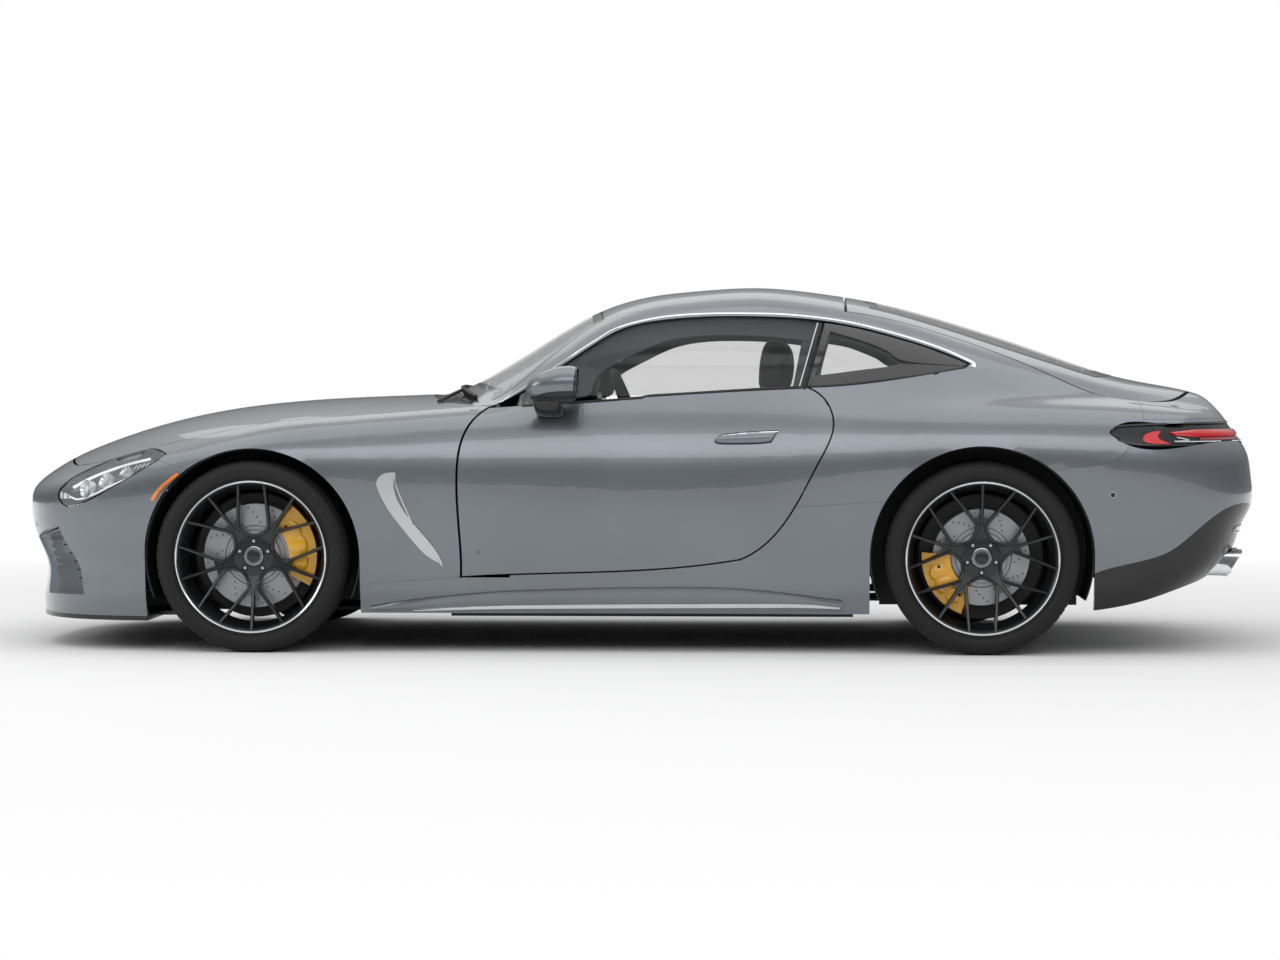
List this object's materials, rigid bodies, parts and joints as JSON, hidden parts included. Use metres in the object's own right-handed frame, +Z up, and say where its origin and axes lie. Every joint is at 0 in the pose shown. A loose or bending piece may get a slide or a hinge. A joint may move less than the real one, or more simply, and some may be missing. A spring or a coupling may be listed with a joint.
{
  "type": "two-door coupe car",
  "caption": "Two-door fastback coupe with opening doors, hood and tailgate, steered front wheels and turning wheels.",
  "frame": {"origin": "middle of the car's box on the ground", "axes": "+X towards the tail, +Y to the car's right, +Z up"},
  "size_m": [4.7124, 2.1, 1.3743],
  "materials": {
    "paint": "gloss",
    "glass": "gloss",
    "lamp_glass": "gloss",
    "red_lens": "gloss",
    "amber_lens": "gloss",
    "gloss_black": "gloss",
    "matt_black": "matt",
    "chrome": "polished",
    "bright_trim": "satin",
    "dark_steel": "satin",
    "cast_metal": "satin",
    "disc_iron": "machined",
    "caliper_yellow": "gloss",
    "wheel_black": "satin",
    "tyre": "matt",
    "seat_leather": "satin"
  },
  "bodies": {
    "shell": {"front_fenders": "paint", "hinge_pillars": "dark_steel", "sills": "paint", "body_sides": "paint", "windshield": "glass", "roof": "paint", "front_bumper": "paint", "headlamps": "lamp_glass", "rear_bumper": "paint", "tail_deck": "paint", "diffuser": "gloss_black", "tail_lamps": "red_lens", "quarter_glass": "glass", "cowl": "matt_black", "front_lip": "gloss_black", "grille": "chrome", "floor": "dark_steel", "wheel_liners": "matt_black", "engine_block": "cast_metal", "seats": "seat_leather", "dashboard": "matt_black", "console": "matt_black", "vent_blades": "bright_trim", "side_markers": "amber_lens", "exhaust": "chrome", "front_subframe": "dark_steel", "rear_subframe": "dark_steel", "knuckle_rear_right": "cast_metal", "caliper_rear_right": "caliper_yellow", "knuckle_rear_left": "cast_metal", "caliper_rear_left": "caliper_yellow"},
    "door_right": {"door_right": "paint", "door_glass_right": "glass", "mirror_right": "paint"},
    "door_left": {"door_left": "paint", "door_glass_left": "glass", "mirror_left": "paint"},
    "hood": {"hood": "paint"},
    "tailgate": {"tailgate": "paint", "tailgate_glass": "glass"},
    "hand_wheel": {"steering_wheel": "matt_black"},
    "hub_front_right": {"knuckle_front_right": "cast_metal", "caliper_front_right": "caliper_yellow"},
    "hub_front_left": {"knuckle_front_left": "cast_metal", "caliper_front_left": "caliper_yellow"},
    "wheel_front_right": {"tyre_front_right": "tyre", "rim_front_right": "wheel_black", "brake_disc_front_right": "disc_iron"},
    "wheel_front_left": {"tyre_front_left": "tyre", "rim_front_left": "wheel_black", "brake_disc_front_left": "disc_iron"},
    "wheel_rear_right": {"tyre_rear_right": "tyre", "rim_rear_right": "wheel_black", "brake_disc_rear_right": "disc_iron"},
    "wheel_rear_left": {"tyre_rear_left": "tyre", "rim_rear_left": "wheel_black", "brake_disc_rear_left": "disc_iron"}
  },
  "joints": [
    {"name": "door_right_hinge", "type": "hinge", "parent": "shell", "child": "door_right", "pos_m": [-0.555, 0.905, 0.555], "axis": [0, 0, 1], "range_deg": [0, 65]},
    {"name": "door_left_hinge", "type": "hinge", "parent": "shell", "child": "door_left", "pos_m": [-0.555, -0.905, 0.555], "axis": [0, 0, -1], "range_deg": [0, 65]},
    {"name": "hood_hinge", "type": "hinge", "parent": "shell", "child": "hood", "pos_m": [-0.5, 0, 0.905], "axis": [0, 1, 0], "range_deg": [0, 55]},
    {"name": "tailgate_hinge", "type": "hinge", "parent": "shell", "child": "tailgate", "pos_m": [0.69, 0, 1.309], "axis": [0, -1, 0], "range_deg": [0, 60]},
    {"name": "hand_wheel_turn", "type": "hinge", "parent": "shell", "child": "hand_wheel", "pos_m": [-0.02, -0.37, 0.885], "axis": [0.9272, 0, 0.3746], "range_deg": [-490, 490]},
    {"name": "steer_right", "type": "hinge", "parent": "shell", "child": "hub_front_right", "pos_m": [-1.399, 0.77, 0.355], "axis": [0, 0, 1], "range_deg": [-35, 35]},
    {"name": "steer_left", "type": "hinge", "parent": "shell", "child": "hub_front_left", "pos_m": [-1.399, -0.77, 0.355], "axis": [0, 0, 1], "range_deg": [-35, 35]},
    {"name": "spin_front_right", "type": "hinge", "parent": "hub_front_right", "child": "wheel_front_right", "pos_m": [-1.399, 0.8, 0.355], "axis": [0, 1, 0], "continuous": true},
    {"name": "spin_front_left", "type": "hinge", "parent": "hub_front_left", "child": "wheel_front_left", "pos_m": [-1.399, -0.8, 0.355], "axis": [0, 1, 0], "continuous": true},
    {"name": "spin_rear_right", "type": "hinge", "parent": "shell", "child": "wheel_rear_right", "pos_m": [1.301, 0.8, 0.355], "axis": [0, 1, 0], "continuous": true},
    {"name": "spin_rear_left", "type": "hinge", "parent": "shell", "child": "wheel_rear_left", "pos_m": [1.301, -0.8, 0.355], "axis": [0, 1, 0], "continuous": true}
  ],
  "couplings": [
    {"joint": "steer_left", "follows": "steer_right", "ratio": 1},
    {"joint": "hand_wheel_turn", "follows": "steer_right", "ratio": 14}
  ]
}
